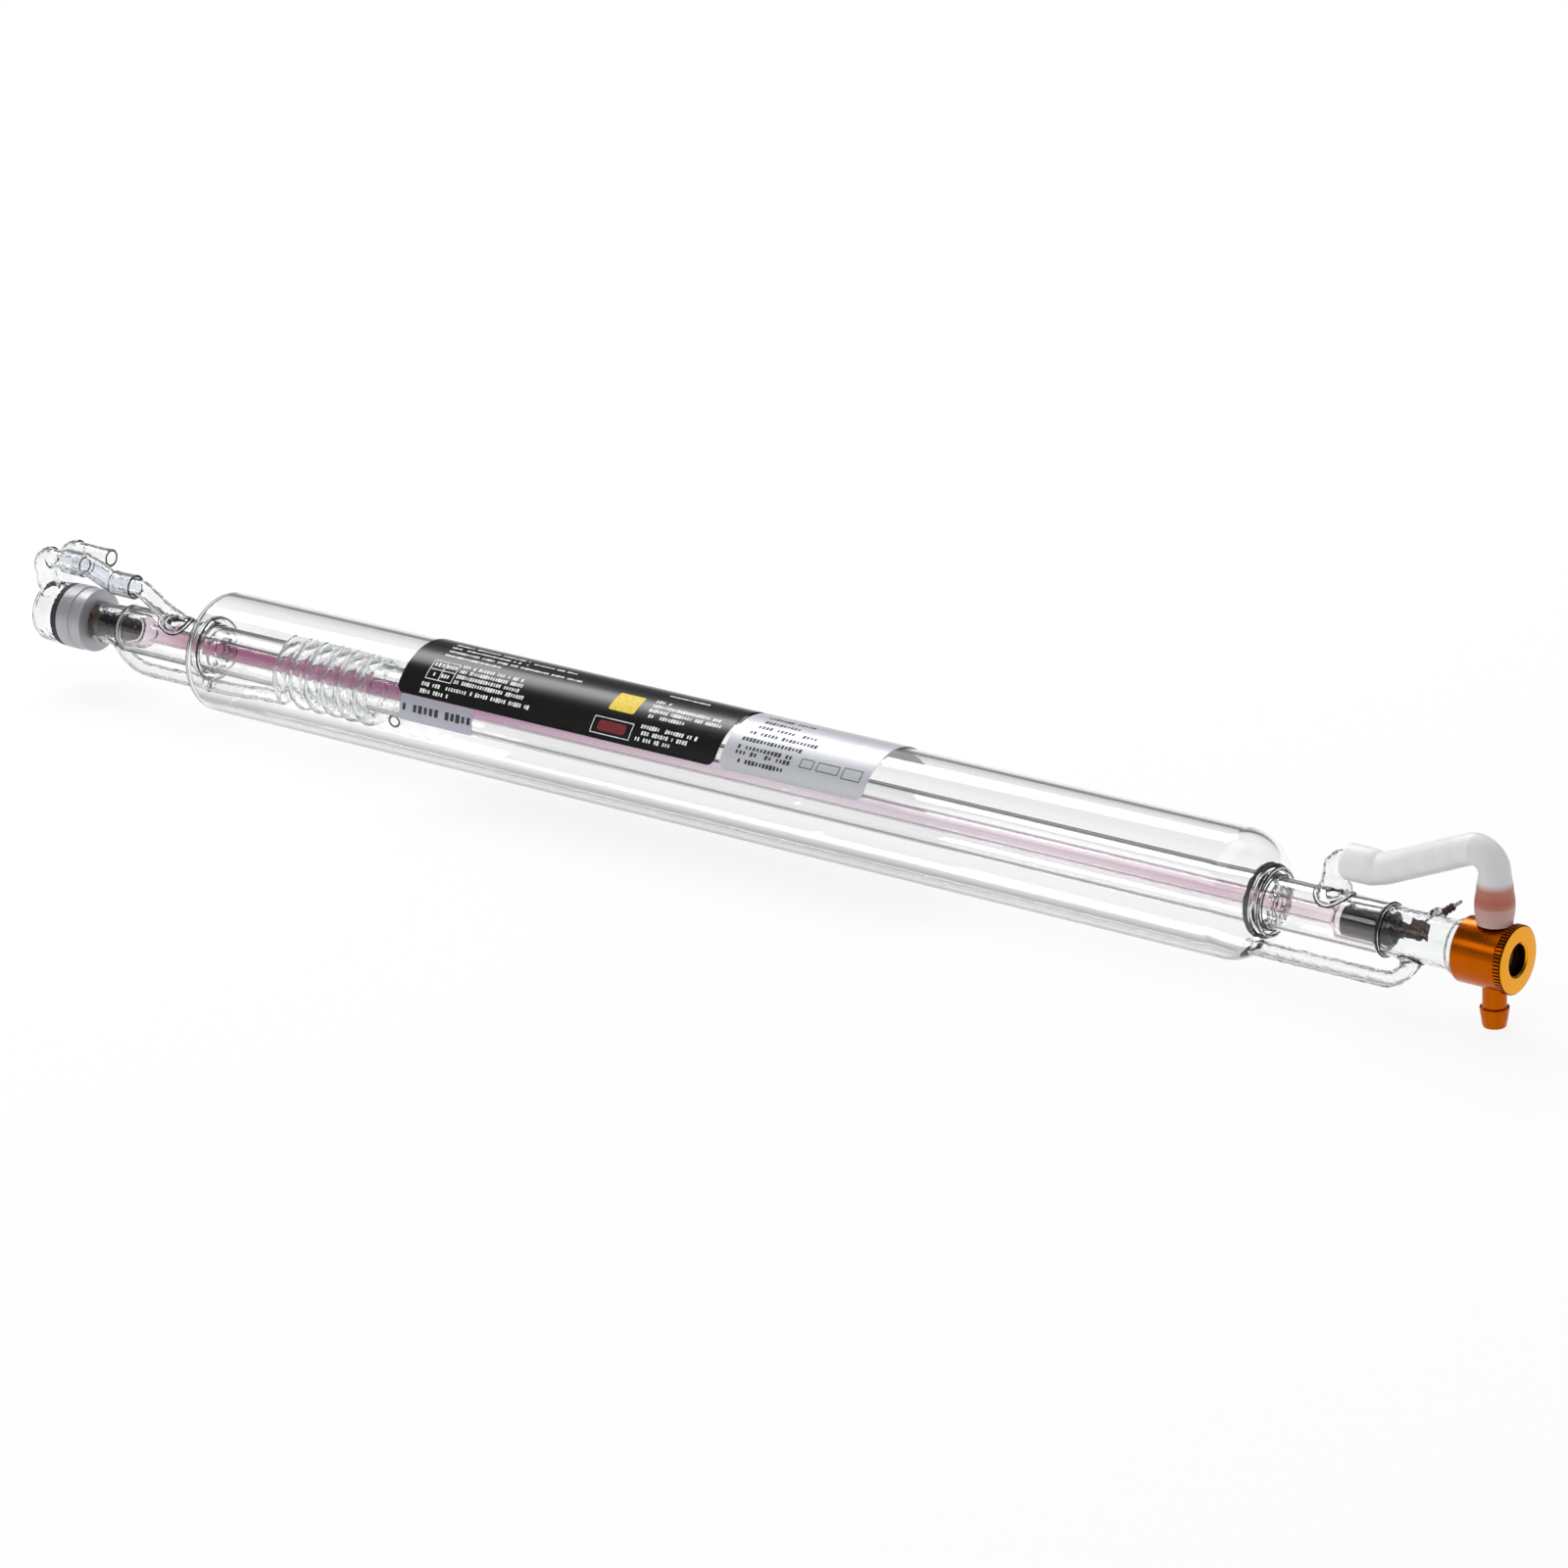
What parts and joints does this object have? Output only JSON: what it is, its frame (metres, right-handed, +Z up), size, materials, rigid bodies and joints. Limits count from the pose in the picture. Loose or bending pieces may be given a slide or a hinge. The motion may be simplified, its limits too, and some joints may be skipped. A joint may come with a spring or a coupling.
{
  "type": "co2 laser tube",
  "caption": "Water-cooled glass gas laser tube with a spiral gas return, side tubes, link hoses and an amber anodised output head with hose barbs.",
  "frame": {"origin": "On the optical axis, halfway along the straight barrel of the outer glass jacket.", "axes": "+X along the optical axis towards the output mirror, +Z up through the upper water barb, +Y to the side with the anode pin and the open cap nipple."},
  "size_m": [0.72, 0.0505, 0.0735],
  "materials": {
    "borosilicate_glass": "clear, flame-worked",
    "anodised_amber": "turned and anodised amber",
    "zinc_selenide": "polished, coated",
    "gold_mirror": "polished, gold coated",
    "brushed_aluminium": "fine turned",
    "black_rubber": "matte",
    "milky_silicone": "milky translucent silicone",
    "clear_hose": "clear bluish silicone",
    "blackened_nickel": "dark oxidised nickel, glossy",
    "bright_steel": "bright drawn wire",
    "brown_ceramic": "dark brown insulating sleeve",
    "black_label_film": "glossy printed film",
    "silver_label_film": "satin silver film"
  },
  "bodies": {
    "root": {"outer_jacket": "borosilicate_glass", "water_jacket": "borosilicate_glass", "discharge_tube": "borosilicate_glass", "front_bore_spacer": "borosilicate_glass", "rear_bore_spacer": "borosilicate_glass", "front_end_chamber": "borosilicate_glass", "rear_end_chamber": "borosilicate_glass", "front_gas_bridge": "borosilicate_glass", "rear_gas_bridge": "borosilicate_glass", "gas_return_coil": "borosilicate_glass", "front_water_nipple": "borosilicate_glass", "rear_water_nipple": "borosilicate_glass", "rear_water_cap": "borosilicate_glass", "output_head": "anodised_amber", "output_bezel": "anodised_amber", "upper_water_barb": "anodised_amber", "lower_water_barb": "anodised_amber", "output_mirror": "zinc_selenide", "rear_mirror": "gold_mirror", "rear_mirror_holder": "brushed_aluminium", "rear_gasket": "black_rubber", "output_mirror_seal": "black_rubber", "front_link_hose": "milky_silicone", "rear_link_hose": "clear_hose", "cathode": "blackened_nickel", "cathode_lead": "blackened_nickel", "anode": "blackened_nickel", "cathode_pin": "bright_steel", "anode_pin": "bright_steel", "cathode_pin_sleeve": "brown_ceramic", "anode_pin_sleeve": "brown_ceramic", "black_label": "black_label_film", "grey_label": "silver_label_film", "serial_label": "silver_label_film"}
  },
  "joints": []
}
